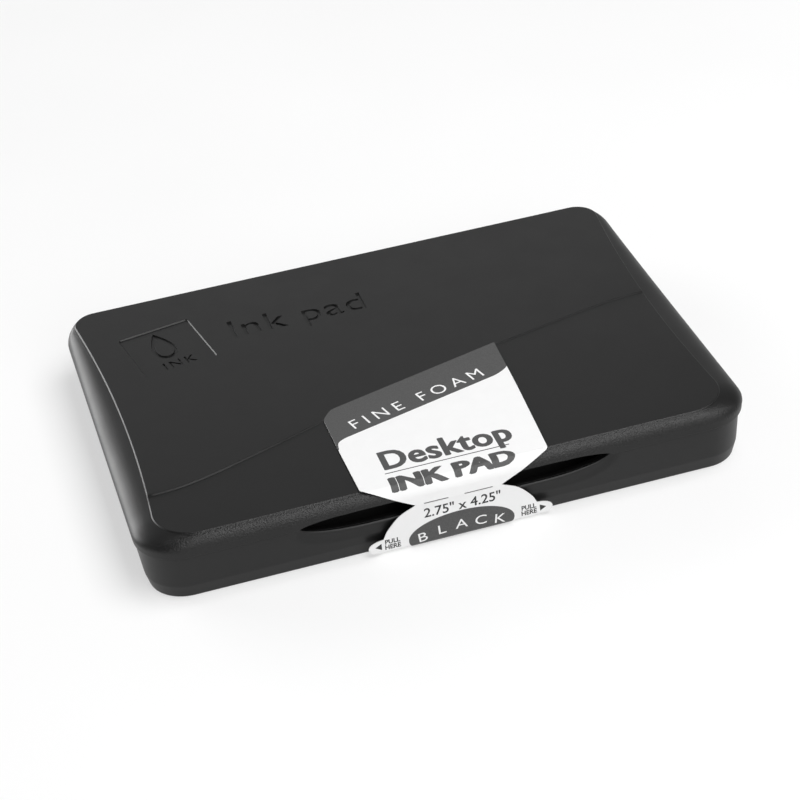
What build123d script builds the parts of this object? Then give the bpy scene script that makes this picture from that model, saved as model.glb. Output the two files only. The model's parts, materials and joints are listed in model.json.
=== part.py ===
from build123d import *
import os

# Ink pad with a hinged lid. Millimetres, +Z up. X runs along the long side, +X to the right,
# +Y to the hinge. The origin is the middle of the base's flat underside.

# Case
CASE_LENGTH = 128.0
CASE_WIDTH = 93.0
CASE_CORNER = 9.6
SIDE_Y = CASE_WIDTH / 2

# Heights
BASE_TOP = 10.3
LID_BOTTOM = 10.6
SHOULDER_Z = 12.0
SHOULDER_TOP = 14.9
LID_TOP = 15.2
CEILING_TOP = 13.4

# Lid
SKIRT_STEP = 0.12
SKIRT_WALL = 1.5
SHOULDER_INSET = 1.9
WAIST_INSET = 5.4
REAR_INSET = 2.3
FRONT_END_INSET = 4.6
REAR_CORNER = 5.0
FRONT_CORNER = 8.5
ROLL_STEPS = 6
ROLL_SWEEP = 0.93
CEILING_Z = 12.3
CEILING_INSET_X = 2.2
CEILING_INSET_Y = 1.5
SEAL_RIB_LENGTH = 114.4
SEAL_RIB_WIDTH = 76.4
SEAL_RIB_CORNER = 5.0
SEAL_RIB_WALL = 0.9
SEAL_RIB_BOTTOM = 11.5

# Front panel of the lid, which slopes down to the front behind an S-shaped step
PANEL_FRONT_Z = 14.85
PANEL_SLOPE = 0.0065
PANEL_CUT = 4.0
WAVE_POINTS = [
    (-61.0, -29.3), (-51.0, -28.6), (-33.6, -23.1), (1.5, -10.3), (31.0, -2.6), (49.5, 1.6), (61.5, 2.8),
]

# Base
BASE_OVERHANG = 0.75
BASE_WALL_DRAFT = 0.5
BEVEL_Z = 3.0
BEVEL_INSET = 0.75
BASE_FLOOR = 1.8
CAVITY_LENGTH = 122.0
CAVITY_WIDTH = 87.0
CAVITY_CORNER = 6.6
RIM_LENGTH = 124.3
RIM_WIDTH = 89.3
RIM_TOP = 11.9
RIM_CORNER = 7.75
RIB_WALL = 1.2
RIB_X = (-40, -5, 5, 40)
RIB_ROOT = 0.4
RIB_GAP = 0.3

# Thumb notch and scoop in the front wall, and the arch over them in the lid's skirt
NOTCH_FLAT = 36.0
NOTCH_END = 14.5
NOTCH_DEPTH = 2.9
NOTCH_Z = 10.5
ARCH_DEPTH = 1.5
RIM_GAP_REACH = 1.25
SCOOP_FLAT = 40.0
SCOOP_END = 14.5
SCOOP_DEPTH = 6.1
SCOOP_RADIUS = 33.0
SCOOP_CENTRE_Z = 9.5
LEDGE = 0.43
BEAD_X = 44.0
BEAD_LENGTH = 12.0
BEAD_RADIUS = 0.2
BEAD_Z = 11.2

# Pad and its tray
PAD_LENGTH = 108.0
PAD_WIDTH = 69.9
PAD_CORNER = 3.0
PAD_TOP = 13.0
SKIN_BOTTOM = 8.0
SKIN = 0.4
SKIN_EDGE = 1.2
TRAY_CLEARANCE = 0.3
TRAY_WALL = 1.2
TRAY_FLOOR = 1.0
DECK_BOTTOM = 10.1
DECK_TOP = 11.2
DECK_GAP = 0.2
LIP_TOP = 11.7

# Hinge
HINGE_Y = 49.2
HINGE_Z = 9.6
HINGE_X = 42.0
KNUCKLE_RADIUS = 2.0
PIN_RADIUS = 0.9
PIN_CLEARANCE = 0.06
LID_KNUCKLE = 12.0
BASE_KNUCKLE = 7.0
KNUCKLE_GAP = 0.3
PIN_RECESS = 0.3
LID_ARM = [(45.6, 10.9), (45.6, 13.0), (HINGE_Y, 11.5), (HINGE_Y, 9.0), (47.6, HINGE_Z)]
BASE_ARM = [(44.6, 5.6), (44.6, 10.2), (HINGE_Y, 10.2), (HINGE_Y, HINGE_Z - KNUCKLE_RADIUS)]

# Paper label
PAPER = 0.16
PAPER_GAP = 0.1
LABEL_REAR_LIFT = 0.15
PERFORATION_Z = 10.15
LABEL_BOTTOM = 10.25
LABEL_PLAN = [(-19.8, -14.9), (22.4, -4.0), (21.9, -21.7), (19.6, -50.0), (-19.3, -50.0), (-19.4, -31.0)]
LABEL_SHOULDER_Z = 14.8
LABEL_HALF_CREASE = 19.4
LABEL_HALF_NECK = 8.8
SEAL_NECK = 9.0
SEAL_Y = 46.76
SEAL_BEND = 1.1
SEAL_TAIL_Y = 27.0
SEAL_HALF_WIDTH = 17.0
SEAL_LIFT = 0.08
SEAL_FLANK = [(12.4, 8.5), (15.0, 5.8), (16.1, 3.8)]
SEAL_EAR = (19.3, 2.2)
SEAL_EAR_FOOT_Z = 0.3
RECESS_DEPTH = 0.35
RECESS_MARGIN = 1.0


def roll_stations():
    """Height and inset of each line of the shoulder's roll, both as parts of the whole."""
    full = 1 - (1 - ROLL_SWEEP**2) ** 0.5
    heights = [step / ROLL_STEPS for step in range(ROLL_STEPS + 1)]
    return [(part, (1 - (1 - (ROLL_SWEEP * part) ** 2) ** 0.5) / full) for part in heights]


def rounded_prism(length, width, radius, bottom, top):
    """Upright block with rounded plan corners, centred on the origin."""
    plan = Plane.XY.offset(bottom) * RectangleRounded(length, width, radius)
    return extrude(plan, top - bottom)


def ruled_prism(size_low, size_high, bottom, top):
    """Upright block whose length, width and corner change evenly from bottom to top."""
    low = Plane.XY.offset(bottom) * RectangleRounded(*size_low)
    high = Plane.XY.offset(top) * RectangleRounded(*size_high)
    return loft([low, high], ruled=True)


def x_prism(points, x_middle, length):
    """Prism along X from an outline of (y, z) points."""
    outline = make_face(Polyline([(0, y, z) for y, z in points], close=True))
    return Pos(x_middle - length / 2, 0, 0) * extrude(outline, length, dir=(1, 0, 0))


def x_rod(radius, x_middle, length):
    """Rod along X on the hinge axis."""
    return Pos(x_middle, HINGE_Y, HINGE_Z) * Rot(0, 90, 0) * Cylinder(radius, length)


def corner_arc(centre_x, centre_y, radius, sign_x, sign_y, z, reverse):
    """Quarter round of a plan outline, taken anticlockwise."""
    side = (centre_x + sign_x * radius, centre_y, z)
    end = (centre_x, centre_y + sign_y * radius, z)
    reach = radius * 0.5 ** 0.5
    middle = (centre_x + sign_x * reach, centre_y + sign_y * reach, z)
    if reverse:
        return ThreePointArc(side, middle, end)
    return ThreePointArc(end, middle, side)


def shoulder_outline(height_part, inset_part):
    """Plan outline of the lid's shoulder, from the skirt (0) to the crease of the top panel (1)."""
    z = SHOULDER_Z + height_part * (SHOULDER_TOP - SHOULDER_Z)
    edge_y = SIDE_Y - SHOULDER_INSET * inset_part
    front_x = CASE_LENGTH / 2 - FRONT_END_INSET * inset_part
    rear_x = CASE_LENGTH / 2 - REAR_INSET * inset_part
    waist_x = CASE_LENGTH / 2 - WAIST_INSET * inset_part
    front_r = CASE_CORNER + (FRONT_CORNER - CASE_CORNER) * inset_part
    rear_r = CASE_CORNER + (REAR_CORNER - CASE_CORNER) * inset_part
    front_y = front_r - edge_y
    rear_y = edge_y - rear_r
    front = Line((front_r - front_x, -edge_y, z), (front_x - front_r, -edge_y, z))
    rear = Line((rear_x - rear_r, edge_y, z), (rear_r - rear_x, edge_y, z))
    if inset_part == 0:
        right = Line((front_x, front_y, z), (rear_x, rear_y, z))
        left = Line((-rear_x, rear_y, z), (-front_x, front_y, z))
    else:
        right = ThreePointArc((front_x, front_y, z), (waist_x, 0, z), (rear_x, rear_y, z))
        left = ThreePointArc((-rear_x, rear_y, z), (-waist_x, 0, z), (-front_x, front_y, z))
    corners = [
        corner_arc(front_x - front_r, front_y, front_r, 1, -1, z, False),
        corner_arc(rear_x - rear_r, rear_y, rear_r, 1, 1, z, True),
        corner_arc(rear_r - rear_x, rear_y, rear_r, -1, 1, z, False),
        corner_arc(front_r - front_x, front_y, front_r, -1, -1, z, True),
    ]
    edges = [front, corners[0], right, corners[1], rear, corners[2], left, corners[3]]
    return make_face(Wire(edges))


def front_panel_cut():
    """Everything above the sloping front panel, in front of the S-shaped step."""
    wave = Spline([(x, y) for x, y in WAVE_POINTS])
    start = wave @ 0
    end = wave @ 1
    reach = CASE_LENGTH
    front = [(reach, end.Y), (reach, -reach), (-reach, -reach), (-reach, start.Y)]
    border = Polyline([(end.X, end.Y), *front, (start.X, start.Y)])
    region = extrude(make_face(Wire([wave, *border.edges()])), LID_TOP + PANEL_CUT)
    crease_y = SHOULDER_INSET - SIDE_Y
    rise = PANEL_SLOPE * reach
    above = [
        (crease_y - reach, PANEL_FRONT_Z - rise),
        (crease_y + reach, PANEL_FRONT_Z + rise),
        (crease_y + reach, LID_TOP + PANEL_CUT),
        (crease_y - reach, LID_TOP + PANEL_CUT),
    ]
    return region & x_prism(above, 0, 2 * CASE_LENGTH)


def hinge_bodies(knuckles, arm_points):
    """Knuckles on the hinge axis, each with the arm that joins it to its shell."""
    solids = []
    for x_middle, length in knuckles:
        solids.append(x_rod(KNUCKLE_RADIUS, x_middle, length))
        solids.append(x_prism(arm_points, x_middle, length))
    return solids


def base_knuckles():
    """Middle and length of each fixed knuckle."""
    reach = LID_KNUCKLE / 2 + KNUCKLE_GAP + BASE_KNUCKLE / 2
    return [(side * HINGE_X + way * reach, BASE_KNUCKLE) for side in (-1, 1) for way in (-1, 1)]


def lid_knuckles():
    """Middle and length of each moving knuckle."""
    return [(side * HINGE_X, LID_KNUCKLE) for side in (-1, 1)]


def grown(size, margin):
    """Length, width and corner radius of a rounded rectangle that is this much larger all round."""
    length, width, corner = size
    return (length + 2 * margin, width + 2 * margin, corner + margin)


def make_seal_rib():
    """Rib under the lid's ceiling that closes off the space over the pad."""
    outer = (SEAL_RIB_LENGTH, SEAL_RIB_WIDTH, SEAL_RIB_CORNER)
    rib = rounded_prism(*outer, SEAL_RIB_BOTTOM, CEILING_TOP)
    return rib - rounded_prism(*grown(outer, -SEAL_RIB_WALL), SEAL_RIB_BOTTOM, CEILING_TOP)


def make_lid_shell():
    """Lid: skirt, rolled shoulder, raised top panel with its S-shaped step, hollow inside."""
    outline = (CASE_LENGTH, CASE_WIDTH, CASE_CORNER)
    lid = rounded_prism(*grown(outline, -SKIRT_STEP), LID_BOTTOM, SHOULDER_Z)
    lid += loft([shoulder_outline(*station) for station in roll_stations()], ruled=True)
    lid += extrude(shoulder_outline(1.0, 1.0), LID_TOP - SHOULDER_TOP)
    lid -= front_panel_cut()
    inner = grown(outline, -SKIRT_WALL)
    ceiling = (inner[0] - 2 * CEILING_INSET_X, inner[1] - 2 * CEILING_INSET_Y, inner[2] - CEILING_INSET_Y)
    lid -= rounded_prism(*inner, 0, CEILING_Z)
    lid -= ruled_prism(inner, ceiling, CEILING_Z, CEILING_TOP)
    lid += make_seal_rib()
    lid -= notch_cut(LID_BOTTOM, ARCH_DEPTH)
    for solid in hinge_bodies(lid_knuckles(), LID_ARM):
        lid += solid
    for x_middle, length in lid_knuckles():
        lid -= x_rod(PIN_RADIUS + PIN_CLEARANCE, x_middle, length + KNUCKLE_GAP)
    return lid


def make_base_shell():
    """Base tray: drafted wall with a bevelled foot, inner rim, thumb notch, ribs and knuckles."""
    top = grown((CASE_LENGTH, CASE_WIDTH, CASE_CORNER), -BASE_OVERHANG)
    belt = grown(top, -BASE_WALL_DRAFT)
    base = ruled_prism(grown(belt, -BEVEL_INSET), belt, 0, BEVEL_Z)
    base += ruled_prism(belt, top, BEVEL_Z, BASE_TOP)
    base -= scoop_cut()
    base -= notch_cut(NOTCH_Z, NOTCH_DEPTH)
    base += rounded_prism(RIM_LENGTH, RIM_WIDTH, RIM_CORNER, BASE_FLOOR, RIM_TOP)
    base -= rounded_prism(CAVITY_LENGTH, CAVITY_WIDTH, CAVITY_CORNER, BASE_FLOOR, LID_TOP)
    base -= rim_gap()
    for solid in deck_ribs() + snap_beads() + hinge_bodies(base_knuckles(), BASE_ARM):
        base += solid
    for x_middle, length in base_knuckles():
        base -= x_rod(PIN_RADIUS, x_middle, length + KNUCKLE_GAP)
    return base - label_recess()


def label_recess():
    """Shallow recess under the front edge, for the wrapped end of the tear seal."""
    rear_y = RECESS_MARGIN - SEAL_TAIL_Y
    length_y = SIDE_Y + rear_y
    return Pos(0, rear_y - length_y / 2, 0) * Box(
        2 * (SEAL_HALF_WIDTH + RECESS_MARGIN), length_y, 2 * RECESS_DEPTH
    )


def slot_outline(flat, end, depth, z_middle):
    """Front view of a long slot with elliptical ends."""
    slot = Rectangle(flat, 2 * depth)
    for side in (-1, 1):
        slot += Pos(side * flat / 2, 0) * Ellipse(end, depth)
    return Plane.XZ * Pos(0, z_middle) * slot


def scoop_cut():
    """Shallow hollow under the thumb notch, a round face that runs in towards the rim."""
    front = extrude(Pos(0, 5 - SIDE_Y, 0) * slot_outline(SCOOP_FLAT, SCOOP_END, SCOOP_DEPTH, BASE_TOP), 10)
    middle_y = -RIM_WIDTH / 2 - LEDGE - SCOOP_RADIUS
    hollow = Pos(0, middle_y, SCOOP_CENTRE_Z) * Rot(0, 90, 0) * Cylinder(SCOOP_RADIUS, CASE_LENGTH)
    return front & hollow


def notch_cut(z_middle, depth):
    """Gap in the front of the base's wall or the lid's skirt, where a fingernail lifts the lid."""
    return extrude(Pos(0, -RIM_WIDTH / 2, 0) * slot_outline(NOTCH_FLAT, NOTCH_END, depth, z_middle), 6)


def rim_gap():
    """Gap in the rim behind the thumb notch, of the same outline."""
    return Pos(0, RIM_GAP_REACH, 0) * notch_cut(NOTCH_Z, NOTCH_DEPTH)


def snap_beads():
    """Small beads on the front of the rim, which the lid's skirt snaps over."""
    place = [Pos(side * BEAD_X, -RIM_WIDTH / 2, BEAD_Z) * Rot(0, 90, 0) for side in (-1, 1)]
    return [spot * Cylinder(BEAD_RADIUS, BEAD_LENGTH) for spot in place]


def tray_cup():
    """Length, width and corner radius of the outside of the pad tray's cup."""
    return grown((PAD_LENGTH, PAD_WIDTH, PAD_CORNER), TRAY_CLEARANCE + TRAY_WALL)


def deck_ribs():
    """Ribs on the base's floor that carry the deck of the pad tray."""
    ribs = []
    cup_y = tray_cup()[1] / 2 + RIB_GAP
    wall_y = CAVITY_WIDTH / 2 + RIB_ROOT
    floor_z = BASE_FLOOR - RIB_ROOT
    for x in RIB_X:
        for side in (-1, 1):
            middle = Pos(x, side * (cup_y + wall_y) / 2, (floor_z + DECK_BOTTOM) / 2)
            ribs.append(middle * Box(RIB_WALL, wall_y - cup_y, DECK_BOTTOM - floor_z))
    return ribs


def make_pad_tray():
    """Inner cup for the ink store, with a deck that reaches the base's inner wall."""
    deck = grown((CAVITY_LENGTH, CAVITY_WIDTH, CAVITY_CORNER), -DECK_GAP)
    tray = rounded_prism(*tray_cup(), BASE_FLOOR, LIP_TOP)
    tray += rounded_prism(*deck, DECK_BOTTOM, DECK_TOP)
    return tray - rounded_prism(*grown(tray_cup(), -TRAY_WALL), BASE_FLOOR + TRAY_FLOOR, LID_TOP)


def make_ink_reservoir():
    """Felt block in the bottom of the cup."""
    return rounded_prism(PAD_LENGTH, PAD_WIDTH, PAD_CORNER, BASE_FLOOR + TRAY_FLOOR, SKIN_BOTTOM)


def domed_pad(inset):
    """The stamping pad with its upper edge rounded, this far in from the outside of its skin."""
    pad = rounded_prism(*grown((PAD_LENGTH, PAD_WIDTH, PAD_CORNER), -inset), SKIN_BOTTOM, PAD_TOP - inset)
    return fillet(pad.faces().sort_by(Axis.Z)[-1].edges(), SKIN_EDGE - inset)


def make_pad_skin():
    """Fine-pored skin over the foam's top and sides, which the stamp is pressed on."""
    return domed_pad(0) - domed_pad(SKIN)


def make_hinge_pin(side):
    """Pin through one group of knuckles."""
    length = LID_KNUCKLE + 2 * (KNUCKLE_GAP + BASE_KNUCKLE - PIN_RECESS)
    return x_rod(PIN_RADIUS, side * HINGE_X, length)


def label_path(lift):
    """Side view of the paper on the lid, as (y, z) points this far outside the plastic."""
    shoulder = []
    for height_part, inset_part in roll_stations()[::-1]:
        y = SHOULDER_INSET * inset_part - SIDE_Y - lift
        z = SHOULDER_Z + height_part * (SHOULDER_TOP - SHOULDER_Z)
        shoulder.append((y, z + lift * inset_part))
    rear = (0, LID_TOP + LABEL_REAR_LIFT + lift - PAPER_GAP)
    return [rear, *shoulder, (-SIDE_Y - lift, LABEL_BOTTOM)]


def label_front():
    """Front view of the lid's label, as (x, z) points: open above the crease, then in to the neck."""
    right = [
        (LABEL_HALF_NECK, LABEL_BOTTOM), (LABEL_HALF_CREASE, LABEL_SHOULDER_Z),
        (CASE_CORNER + LABEL_HALF_CREASE, LABEL_SHOULDER_Z), (CASE_CORNER + LABEL_HALF_CREASE, LID_TOP + 2),
    ]
    return right + [(-x, z) for x, z in right[::-1]]


def make_lid_label():
    """Paper on the front panel, over the crease and down the skirt to the perforation."""
    path = label_path(PAPER_GAP) + label_path(PAPER_GAP + PAPER)[::-1]
    sheet = x_prism(path, 0, CASE_LENGTH)
    plan_prism = extrude(make_face(Polyline(LABEL_PLAN, close=True)), LID_TOP + 2)
    front_prism = extrude(Plane.XZ * make_face(Polyline(label_front(), close=True)), CASE_WIDTH)
    return sheet & plan_prism & front_prism


def seal_block(inset):
    """Long prism, round at its lower front edge, this far inside the outer face of the tear seal."""
    front = inset - SEAL_Y
    low = SEAL_LIFT + inset
    prism = x_prism([(front, low), (0, low), (0, LID_TOP), (front, LID_TOP)], 0, CASE_LENGTH)
    low_front = prism.edges().filter_by(Axis.X).sort_by(lambda edge: edge.center().Y + edge.center().Z)[0]
    return fillet(low_front, SEAL_BEND - inset)


def seal_outline():
    """Front view of the tear seal: narrow neck, spreading shoulders and a round ear at each side."""
    floor = -1
    edges = [
        Line((-SEAL_NECK, PERFORATION_Z), (SEAL_NECK, PERFORATION_Z)),
        Line((-SEAL_HALF_WIDTH, floor), (SEAL_HALF_WIDTH, floor)),
    ]
    for way in (-1, 1):
        flank = [(way * x, z) for x, z in [(SEAL_NECK, PERFORATION_Z), *SEAL_FLANK]]
        ear_foot = (way * SEAL_HALF_WIDTH, SEAL_EAR_FOOT_Z)
        edges.append(Spline(flank))
        edges.append(ThreePointArc(flank[-1], (way * SEAL_EAR[0], SEAL_EAR[1]), ear_foot))
        edges.append(Line(ear_foot, (way * SEAL_HALF_WIDTH, floor)))
    return Plane.XZ * make_face(Wire(edges))


def make_tear_seal():
    """Paper tab below the perforation, down in front of the base and back under it."""
    sheet = seal_block(0) - seal_block(PAPER)
    bend_y = SEAL_Y - SEAL_BEND
    front = extrude(Pos(0, -bend_y, 0) * seal_outline(), SEAL_BEND)
    tail = Box(2 * SEAL_HALF_WIDTH, bend_y - SEAL_TAIL_Y, LID_BOTTOM)
    return (sheet & front) + (sheet & Pos(0, -(SEAL_TAIL_Y + bend_y) / 2, 0) * tail)


def main():
    os.makedirs("parts", exist_ok=True)
    nodes = {
        "base_shell": make_base_shell(),
        "lid_shell": make_lid_shell(),
        "hinge_pin_left": make_hinge_pin(-1),
        "hinge_pin_right": make_hinge_pin(1),
        "pad_tray": make_pad_tray(),
        "ink_reservoir": make_ink_reservoir(),
        "stamp_foam": domed_pad(SKIN),
        "pad_skin": make_pad_skin(),
        "lid_label": make_lid_label(),
        "tear_seal": make_tear_seal(),
    }
    for name, shape in nodes.items():
        export_step(shape, f"parts/{name}.step")


main()
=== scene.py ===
import json
import math
from collections import namedtuple

import bmesh
import bpy
from mathutils import Matrix, Vector, noise
from mathutils.geometry import delaunay_2d_cdt

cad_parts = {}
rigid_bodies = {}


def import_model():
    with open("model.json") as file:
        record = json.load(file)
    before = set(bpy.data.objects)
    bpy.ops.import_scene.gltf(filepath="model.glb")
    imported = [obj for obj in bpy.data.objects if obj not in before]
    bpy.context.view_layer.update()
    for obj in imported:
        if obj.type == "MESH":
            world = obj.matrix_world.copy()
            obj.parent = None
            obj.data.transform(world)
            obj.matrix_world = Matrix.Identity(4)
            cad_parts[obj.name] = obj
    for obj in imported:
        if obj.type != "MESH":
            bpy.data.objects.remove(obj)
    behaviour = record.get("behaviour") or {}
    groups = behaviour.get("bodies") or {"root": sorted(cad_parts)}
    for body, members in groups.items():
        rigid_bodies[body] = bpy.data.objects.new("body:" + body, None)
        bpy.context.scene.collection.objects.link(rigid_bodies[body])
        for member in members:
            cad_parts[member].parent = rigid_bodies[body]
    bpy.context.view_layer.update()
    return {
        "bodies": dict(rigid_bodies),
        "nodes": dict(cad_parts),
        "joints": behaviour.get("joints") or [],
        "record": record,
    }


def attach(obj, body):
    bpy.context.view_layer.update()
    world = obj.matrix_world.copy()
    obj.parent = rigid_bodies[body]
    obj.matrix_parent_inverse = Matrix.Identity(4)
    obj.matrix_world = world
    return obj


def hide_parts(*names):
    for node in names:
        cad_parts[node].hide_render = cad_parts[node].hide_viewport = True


# Ink pad with a hinged lid, in looks. Shapes are worked out in millimetres, in the CAD frame,
# and each mesh is brought to metres as it is finished. A plan is (half_x, half_y, corner radius).
MM = 0.001

# Case
HALF_X = 64.0
HALF_Y = 46.5
CASE_CORNER = 9.6
BASE_TOP = 10.3
LID_BOTTOM = 10.6
SHOULDER_Z = 12.0
SHOULDER_TOP = 14.9
LID_TOP = 15.2
CASE = (HALF_X, HALF_Y, CASE_CORNER)

# Steps round the corners of the case's plan, of a profile and of a flat outline
CORNER_STEPS = 14
PROFILE_STEPS = 3
OUTLINE_STEPS = 6

# Lid
SKIRT_STEP = 0.12
SKIRT_WALL = 1.5
SHOULDER_INSET = 1.9
WAIST_INSET = 5.4
REAR_INSET = 2.3
FRONT_END_INSET = 4.6
REAR_CORNER = 5.0
FRONT_CORNER = 8.5
ROLL_SWEEP = 0.93
ROLL_STEPS = 14
CREASE_DROP = 0.2
CREASE_ROUND = 0.25
CREASE_RUN = 12.0
CREASE_LEAST = 0.04
CREASE_SHARE = 0.9
CREASE_SHARP = [(0.0, 1.0), (0.1, 0.88), (0.85, 0.1), (1.0, 0.0)]
CREASE_SOFT = [(0.0, 1.0), (0.29, 0.36), (0.62, 0.1), (1.0, 0.0)]
CREASE_SOFT_X = (46.0, 58.0)
GRAIN_Y = (-42.5, -44.5)
PANEL_FRONT_Z = 14.85
PANEL_SLOPE = 0.0065
STEP_DROP = 0.2
# Points (x, y) of the step in the lid's top, and its section as (y offset, share of the drop)
WAVE = [(-64, -29.4), (-51, -28.6), (-33.6, -23.1), (1.5, -10.3), (31, -2.6), (49.5, 1.6), (64, 3.0)]
WAVE_STEPS = 90
WAVE_PROFILE = [(0.14, 0.0), (0.0, 0.14), (-0.30, 0.86), (-0.44, 1.0)]
SEAL_RIB = (57.2, 38.2, 5.0)
SEAL_RIB_WALL = 0.9
SEAL_RIB_BOTTOM = 11.5
CEILING_Z = 12.3
CEILING_TOP = 13.4
CEILING = (60.3, 43.5, 6.6)
EMBLEM_CENTRE = (-44.0, 22.9)
EMBLEM_TURN = 10.0
PRESS_RISE = 0.4

# Base, with its insets taken from the case's plan
FOOT_INSET = 2.0
BELT_INSET = 1.25
BELT_Z = 3.0
WALL_TOP_INSET = 0.75
RIM_INSET = 1.85
RIM_TOP = 11.9
CAVITY_INSET = 3.0
FLOOR_Z = 1.8
WALL_STEPS = 18
FRONT_STEPS = 170
NOTCH_FLAT = 18.0
NOTCH_END = 14.5
NOTCH_DEPTH = 2.9
NOTCH_Z = 10.5
ARCH_DEPTH = 1.5
SCOOP_FLAT = 20.0
SCOOP_END = 14.5
SCOOP_DEPTH = 6.1
SCOOP_RADIUS = 33.0
SCOOP_Z = 9.5
SCOOP_FADE = 0.18
LEDGE = 0.43
# Rounding of the notch's lip: how far in, over which height
LIP = (0.35, 0.6)
# Recess under the base: half width, rear edge, depth
RECESS = (18.0, 26.0, 0.35)
RIB_X = (-40, -5, 5, 40)
RIB_Y = (36.9, 43.9)
RIB_HALF = 0.6
RIB_BOTTOM = 1.4
# Snap beads, with their middle in (y, z)
BEAD = (-44.65, 11.2)
BEAD_RADIUS = 0.2
BEAD_X = 44
BEAD_LENGTH = 12.0

# Hinge
HINGE_X = 42.0
HINGE_Y = 49.2
HINGE_Z = 9.6
KNUCKLE_RADIUS = 2.0
PIN_RADIUS = 0.9
PIN_HALF = 13.0
LID_KNUCKLE = 12.0
BASE_KNUCKLE = 7.0
KNUCKLE_GAP = 0.3
KNUCKLE_EDGE = 0.18
LID_ARM = [(45.6, 10.9), (45.6, 13.0), (HINGE_Y, 11.5), (HINGE_Y, 9.0), (47.6, HINGE_Z)]
BASE_ARM = [(44.6, 5.6), (44.6, 10.2), (HINGE_Y, 10.2), (HINGE_Y, 7.6)]

# Pad and tray
PAD = (54.0, 34.95, 3.0)
PAD_TOP = 13.0
SKIN_BOTTOM = 8.0
SKIN_WALL = 0.45
SKIN_TOP = 0.95
CORE_INSET = 0.5
PAD_SHARP = 50
TRAY_CLEARANCE = 0.3
TRAY_WALL = 1.2
DECK_INSET = 3.2
DECK_BOTTOM = 10.1
DECK_TOP = 11.2
LIP_TOP = 11.7

# Label
PAPER = 0.16
PAPER_GAP = 0.1
REAR_LIFT = 0.06
CREASE_Y = HALF_Y - SHOULDER_INSET
PERFORATION_Z = 10.2
SLIT = 0.12
SLITS = ((-7.2, -2.1), (1.2, 7.1))
PAPER_SHARP = 40
LABEL_HALF_CREASE = 19.3
LABEL_HALF_NECK = 8.9
SEAL_Y = 46.76
SEAL_BEND = 1.1
SEAL_LIFT = 0.08
SEAL_STRAIGHT = PERFORATION_Z - SEAL_LIFT - SEAL_BEND
SEAL_TAIL_Y = 27.0
SEAL_HALF = 17.0

# Material slots of the two printed sheets
PLAIN, BACK, GREY, DARK = range(4)

Outline = namedtuple("Outline", "front_x waist_x rear_x edge_y front_r rear_r")


# ---- meshes

def new_object(name, data):
    obj = bpy.data.objects.new(name, data)
    bpy.context.scene.collection.objects.link(obj)
    return obj


def mesh_object(name, verts, faces):
    mesh = bpy.data.meshes.new(name)
    mesh.from_pydata([tuple(v) for v in verts], [], faces)
    return new_object(name, mesh)


def tidy_mesh(obj):
    """Welds what touches, drops slivers and turns every face outward."""
    mesh = bmesh.new()
    mesh.from_mesh(obj.data)
    bmesh.ops.remove_doubles(mesh, verts=mesh.verts, dist=0.0008)
    bmesh.ops.dissolve_degenerate(mesh, edges=mesh.edges, dist=0.0005)
    bmesh.ops.recalc_face_normals(mesh, faces=mesh.faces)
    mesh.to_mesh(obj.data)
    mesh.free()


def solid(name, rings):
    """Closed solid through rings of equal length."""
    obj = mesh_object(name, *skin(rings))
    tidy_mesh(obj)
    return obj


def boolean(obj, other, operation):
    """Joins or cuts with another closed mesh, and keeps only the result."""
    step = obj.modifiers.new(operation, "BOOLEAN")
    step.operation = operation
    step.solver = "EXACT"
    step.object = other
    graph = bpy.context.evaluated_depsgraph_get()
    result = bpy.data.meshes.new_from_object(obj.evaluated_get(graph))
    obj.modifiers.clear()
    obj.data = result
    bpy.data.objects.remove(other)


def join(obj, other):
    boolean(obj, other, "UNION")


def cut(obj, other):
    boolean(obj, other, "DIFFERENCE")


def finish_piece(obj, body, materials, node, sharp=32):
    """Brings a piece to metres, shades it and hangs it on its body."""
    tidy_mesh(obj)
    obj.data.transform(Matrix.Scale(MM, 4))
    obj.data.shade_smooth()
    obj.data.set_sharp_from_angle(angle=math.radians(sharp))
    normals = obj.modifiers.new("normals", "WEIGHTED_NORMAL")
    normals.keep_sharp = True
    slots = obj.data.materials
    for k, material in enumerate(materials):
        if k == len(slots):
            slots.append(None)
        slots[k] = material
    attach(obj, body)
    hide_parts(node)


def plan(half_x, half_y, radius):
    """Plan outline of a plain rounded rectangle."""
    return Outline(half_x, half_x, half_x, half_y, radius, radius)


def inset(shape, depth):
    """The same outline, this far further in."""
    return Outline(*[v - depth for v in shape])


def side_point(shape, way, share):
    """Point on a long curved side, from its front end (0) to its rear end (1)."""
    front_y = shape.front_r - shape.edge_y
    rear_y = shape.edge_y - shape.rear_r
    y = front_y + (rear_y - front_y) * share
    front = y * (y - rear_y) / (front_y * (front_y - rear_y))
    waist = (y - front_y) * (y - rear_y) / (front_y * rear_y)
    rear = y * (y - front_y) / (rear_y * (rear_y - front_y))
    return way * (front * shape.front_x + waist * shape.waist_x + rear * shape.rear_x), y


def ellipse(centre, half_x, half_y, steps):
    turns = [2 * math.pi * k / steps for k in range(steps)]
    return [(centre[0] + half_x * math.cos(a), centre[1] + half_y * math.sin(a)) for a in turns]


def corner(centre_x, centre_y, radius, start, steps):
    turns = [math.radians(start + 90 * k / steps) for k in range(steps + 1)]
    return [(centre_x + radius * math.cos(a), centre_y + radius * math.sin(a)) for a in turns]


def even(steps):
    return [k / steps for k in range(1, steps)]


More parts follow.
